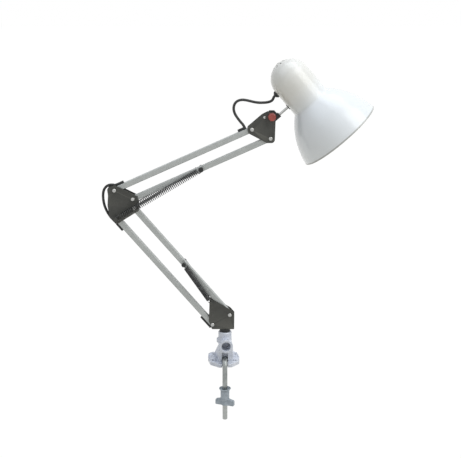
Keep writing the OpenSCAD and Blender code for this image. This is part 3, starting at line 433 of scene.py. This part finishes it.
# The flex has two free loops, and runs along the arms. The loops' points are x and z in millimetres: one goes
# from the gland in the neck to the clip on the upper arm, the other from that arm's end to the lower arm's.
flex = {"diameter": 5.2, "steps": 4, "sides": 12}
headRoute = [
    (96.5, 545.5), (94.8, 543.6), (93.7, 541), (92.4, 538.4), (89.9, 536), (85.9, 534.2), (80.1, 533),
    (73.5, 532.6), (66, 532.6), (58, 533.6), (50, 535.4), (42, 537.2), (34.1, 538), (26.9, 536.6),
    (21.3, 532.8), (18.1, 526.8), (17.5, 519.6), (19.3, 512.4), (22.9, 505.9), (27.1, 500), (31.3, 494.8),
    (34.9, 490.8), (37.8, 486.1)]
elbowRoute = [
    (-216.4, 371.3), (-221.1, 371.8), (-226.9, 371.2), (-232.1, 368.6), (-236.1, 364.2), (-238.5, 358.4),
    (-239.5, 351.6), (-239.5, 344.4), (-238.7, 337), (-237.1, 329.6), (-234.5, 322.2), (-231.1, 315),
    (-226.9, 308.4), (-222.3, 302.8), (-217.7, 297.8), (-213.5, 293.3)]
# each stretch of a loop: its route, the first and last point of it, the bodies at its two ends, its node
flexStretches = {
    "flexHeadLoop": (headRoute, 0, 8, "head", "knuckle", "flex_head_loop"),
    "flexKnuckleLoop": (headRoute, 8, 17, "knuckle", "head_bracket", "flex_knuckle_loop"),
    "flexBracketLoop": (headRoute, 17, 22, "head_bracket", "upper_top_arm", "flex_bracket_loop"),
    "flexElbowLoop": (elbowRoute, 0, 7, "upper_top_arm", "elbow", "flex_elbow_loop"),
    "flexLowerLoop": (elbowRoute, 7, 15, "elbow", "lower_left_arm", "flex_lower_loop"),
}
# each run in its tube's own frame: how far from the tube's first pivot, and how high over its middle
flexRuns = {
    "flexUpper": {
        "start": elbowTop, "slope": arms["upperSlope"], "node": "flex_upper", "body": "upper_top_arm",
        "points": [(5.2, 8.8), (8.6, 6.9), (13, 4.3), (18, 1.2), (24, 0), (60, 0), (140, 0), (220, 0),
                   (266, 0), (276, 0.8), (281, 3.2), (283, 6.6), (283, 10.2)]},
    "flexLower": {
        "start": footLeft, "slope": arms["lowerSlope"], "node": "flex_lower", "body": "lower_left_arm",
        "points": [(-2, 7.8), (4, 7.8), (9, 7.0), (13, 3.6), (17, 0.8), (23, 0), (60, 0), (150, 0), (240, 0),
                   (262, 0), (268, 0.9), (272, 3.8), (275, 6.8), (280, 7.8)]},
}


def makeLoops():
    for name, (route, first, last, near, far, node) in flexStretches.items():
        whole = smoothRoute([fromPlane(p) for p in route], flex["steps"])
        line = whole[first * flex["steps"]:last * flex["steps"] + 1]
        piece = addPiece(name, sweptMesh(line, flex["diameter"] * mm, flex["sides"]), "blackSheath",
                         [node])
        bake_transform(piece)


def makeRuns():
    for name, run in flexRuns.items():
        along = Matrix.Translation(fromPlane(run["start"])) @ Matrix.Rotation(radians(-run["slope"]), 4, "Y")
        line = [along @ p for p in smoothRoute([fromPlane(p) for p in run["points"]], flex["steps"])]
        addPiece(name, sweptMesh(line, flex["diameter"] * mm, flex["sides"]), "blackSheath",
                 [run["node"]], run["body"])


makeLoops()
makeRuns()
print("flex ready")


# The balance springs run from the pin in the arm to the fixed one. At these two ends, "aside" is how far a
# spring stands off the arms' plane, and "leads" is how much of it isn't curled.
springPairs = {
    "upper": {"pin": upperPin, "fixed": elbowLow, "aside": (12, 18), "leads": (8, 13), "outside": 12.4,
              "wire": 1.7, "curls": 46, "bodies": ("elbow", "upper_bottom_arm")},
    "lower": {"pin": lowerPin, "fixed": springStud, "aside": (14, 14), "leads": (8, 8), "outside": 10.0,
              "wire": 1.4, "curls": 52, "bodies": ("lower_bracket", "lower_right_arm")},
}
springs = {
    "perCurl": 12, "sides": 8,  # points in a curl, and sides of the wire
    "pinRadius": 2.0, "eyeGap": 0.6,  # the eyes hook loosely over the pins
    "firstEye": range(-45, -271, -25), "lastEye": range(90, -136, -25),  # round each pin, in degrees
    "leadIn": (1.4, 0.2), "tail": (2.6, 0.8),  # where leads and the tail meet the curls, along and across
    "bends": 0.7,  # the share from the fixed pin, near the pivot
}


def springLine(length, spring):
    # eye, lead, curls, lead, eye and tail, along X
    coil = (spring["outside"] - spring["wire"]) / 2
    eye = springs["pinRadius"] + spring["wire"] / 2 + springs["eyeGap"]
    leadStart, leadEnd = spring["leads"]
    (inset, drop), (tail, rise) = springs["leadIn"], springs["tail"]
    line = [Vector((eye * cos(radians(a)), 0, eye * sin(radians(a)))) for a in springs["firstEye"]]
    line.append(Vector((leadStart - inset, 0, coil - drop)))
    pitch = (length - leadStart - leadEnd) / spring["curls"]
    for k in range(1, spring["curls"] * springs["perCurl"]):
        t = k / springs["perCurl"]
        line.append(Vector((leadStart + pitch * t, coil * sin(2 * pi * t), coil * cos(2 * pi * t))))
    line.append(Vector((length - leadEnd + inset, 0, coil - drop)))
    line += [Vector((length + eye * cos(radians(a)), 0, eye * sin(radians(a)))) for a in springs["lastEye"]]
    line.append(Vector((length - leadEnd + tail, 0, rise - coil)))
    return line


def makeSprings():
    for pair, spring in springPairs.items():
        for side, sign in (("Front", -1), ("Back", 1)):
            start = fromPlane(spring["pin"], sign * spring["aside"][0])
            end = fromPlane(spring["fixed"], sign * spring["aside"][1])
            way = end - start
            turn = Matrix.Rotation(-atan2(way.z, way.x), 4, "Y") @ Matrix.Rotation(
                atan2(way.y, Vector((way.x, 0, way.z)).length), 4, "Z")
            line = [start + turn @ (p * mm) for p in springLine(way.length / mm, spring)]
            piece = addPiece(f"{pair}Spring{side}", sweptMesh(line, spring["wire"] * mm, springs["sides"]),
                             "blackedSpringWire", [f"{pair}_spring_{side.lower()}"])
            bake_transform(piece)


makeSprings()
print("springs ready")


def bellLine():
    # the bell's swollen arc from neck to rim, as radius and depth
    neck = Vector((shade["neckRadius"], shade["neckLength"]))
    rim = Vector((shade["rimRadius"], shade["neckLength"] + shade["bellDepth"]))
    chord, sag = (rim - neck).length, shade["swell"]
    radius = (chord * chord / 4 + sag * sag) / (2 * sag)
    side = Vector(((rim - neck).y, -(rim - neck).x)).normalized()
    centre = (neck + rim) / 2 - side * (radius - sag)
    first, last = (atan2(end.y - centre.y, end.x - centre.x) for end in (neck, rim))
    turns = [first + (last - first) * k / shade["bellRings"] for k in range(shade["bellRings"] + 1)]
    return [centre + radius * Vector((cos(a), sin(a))) for a in turns]


def shadeLine():
    # half the shade's section, from the dome's apex to the rolled rim, as radius and depth
    neck, rim = shade["neckRadius"], shade["neckLength"] + shade["bellDepth"]
    across, along = shade["rimRoll"]
    line = [(neck * sin(radians(a)), -neck * cos(radians(a))) for a in shade["domeAngles"]]
    line += [(neck, depth) for depth in shade["neckRings"]]
    line.append((neck + shade["crease"][0], shade["neckLength"] + shade["crease"][1]))
    line += [(p.x, p.y) for p in bellLine()[1:]]
    inner = shade["rimRadius"] - shade["rimInset"]
    line += [(inner + across * (1 - cos(radians(a))), rim + along * sin(radians(a)))
             for a in shade["rollAngles"]]
    return line


def inVent(face):
    # the vents lie in a ring round the apex, each within an angle of its middle
    middle = face.calc_center_median() / mm
    inner, outer = shade["ventReach"]
    if middle.z > 0 or not inner < Vector((middle.x, middle.y)).length < outer:
        return False
    turn = 360 / shade["vents"]
    angle = (degrees(atan2(middle.y, middle.x)) - turn / 2) % turn
    return min(angle, turn - angle) < shade["ventHalfAngle"]


def makeShade():
    bm = bmesh.new()
    spots = [bm.verts.new((radius * mm, 0, depth * mm)) for radius, depth in shadeLine()]
    edges = [bm.edges.new(pair) for pair in zip(spots, spots[1:])]
    bmesh.ops.spin(bm, geom=spots + edges, cent=(0, 0, 0), axis=(0, 0, 1), angle=2 * pi,
                   steps=shade["turnSteps"], use_merge=True)
    bmesh.ops.remove_doubles(bm, verts=bm.verts[:], dist=1e-6)
    bmesh.ops.delete(bm, geom=[face for face in bm.faces if inVent(face)], context="FACES")
    bmesh.ops.recalc_face_normals(bm, faces=bm.faces[:])
    mesh = bpy.data.meshes.new("spunShade")
    bm.to_mesh(mesh)
    bm.free()
    tilt = Matrix.Rotation(radians(90 + shade["tilt"]), 4, "Y")
    mesh.transform(Matrix.Translation(fromPlane(shadeAt)) @ tilt)
    piece = addPiece("spunShade", mesh, "whiteEnamel", ["shade"], sharp=60)
    wall = piece.modifiers.new("wall", "SOLIDIFY")
    wall.thickness, wall.offset, wall.use_even_offset = shade["thickness"] * mm, -1, True
    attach(piece, "head")


makeShade()
print("shade ready")


studio = {
    "floor": -0.42, "floorReach": 30, "floorTone": "#FFFAEE",
    "floorGlow": 1.04, "glowShare": 0.96,  # white where the floor is seen, with a little of the shadow left
    "sky": 0.35,  # the world's strength as light on the lamp
    "lampsAim": (0, 0, 0.35),
}
# places and sizes in metres, power in watts
lamps = {
    "keyLamp": {"place": (1.35, -0.75, 1.75), "size": 1.5, "power": 20.0, "colour": "#FFFFFD"},
    "fillLamp": {"place": (-1.5, -0.9, 2.1), "size": 1.6, "power": 6.0, "colour": "#E2EEFF"},
    "topLamp": {"place": (0.25, 0.1, 2.4), "size": 1.4, "power": 12.5, "colour": "#F2F7FF"},
}


def whiteSeen(tree):
    # 1 where the camera, a gloss or a glass looks, 0 where light is gathered
    path = addNode(tree, "LightPath")
    cameraOrGloss = addNode(tree, "Math", operation="MAXIMUM",
                            links={0: path.outputs["Is Camera Ray"], 1: path.outputs["Is Glossy Ray"]})
    orGlass = addNode(tree, "Math", operation="MAXIMUM",
                      links={0: cameraOrGloss.outputs[0], 1: path.outputs["Is Transmission Ray"]})
    return orGlass.outputs[0]


def makeFloor():
    bm = bmesh.new()
    bmesh.ops.create_grid(bm, x_segments=1, y_segments=1, size=studio["floorReach"])
    mesh = bpy.data.meshes.new("paleFloor")
    bm.to_mesh(mesh)
    bm.free()
    mesh.transform(Matrix.Translation((0, 0, studio["floor"])))
    material = bpy.data.materials.new("paleFloor")
    material.use_nodes = True
    tree = material.node_tree
    tree.nodes.remove(tree.nodes["Principled BSDF"])
    matt = addNode(tree, "BsdfDiffuse", {"Color": hexColour(studio["floorTone"])})
    glow = addNode(tree, "Emission", {"Strength": studio["floorGlow"]})
    share = addNode(tree, "Math", {1: studio["glowShare"]}, {0: whiteSeen(tree)}, operation="MULTIPLY")
    mixed = addNode(tree, "MixShader", links={0: share.outputs[0], 1: matt.outputs[0], 2: glow.outputs[0]})
    tree.links.new(mixed.outputs[0], tree.nodes["Material Output"].inputs["Surface"])
    mesh.materials.append(material)
    floor = bpy.data.objects.new("paleFloor", mesh)
    bpy.context.scene.collection.objects.link(floor)


def makeLight():
    world = bpy.data.worlds.new("softBox")
    bpy.context.scene.world = world
    world.use_nodes = True
    tree = world.node_tree
    power = addNode(tree, "MapRange", {"To Min": studio["sky"], "To Max": 1.0}, {"Value": whiteSeen(tree)})
    tree.links.new(power.outputs["Result"], tree.nodes["Background"].inputs["Strength"])
    tree.nodes["Background"].inputs["Color"].default_value = (1, 1, 1, 1)
    for name, lamp in lamps.items():
        data = bpy.data.lights.new(name, "AREA")
        data.size, data.energy = lamp["size"], lamp["power"]
        data.color = hexColour(lamp["colour"])[:3]
        holder = bpy.data.objects.new(name, data)
        holder.location = lamp["place"]
        aim = Vector(studio["lampsAim"]) - Vector(lamp["place"])
        holder.rotation_euler = aim.to_track_quat("-Z", "Y").to_euler()
        bpy.context.scene.collection.objects.link(holder)


makeFloor()
makeLight()
bpy.context.scene.view_settings.view_transform = "Standard"
print("studio ready")
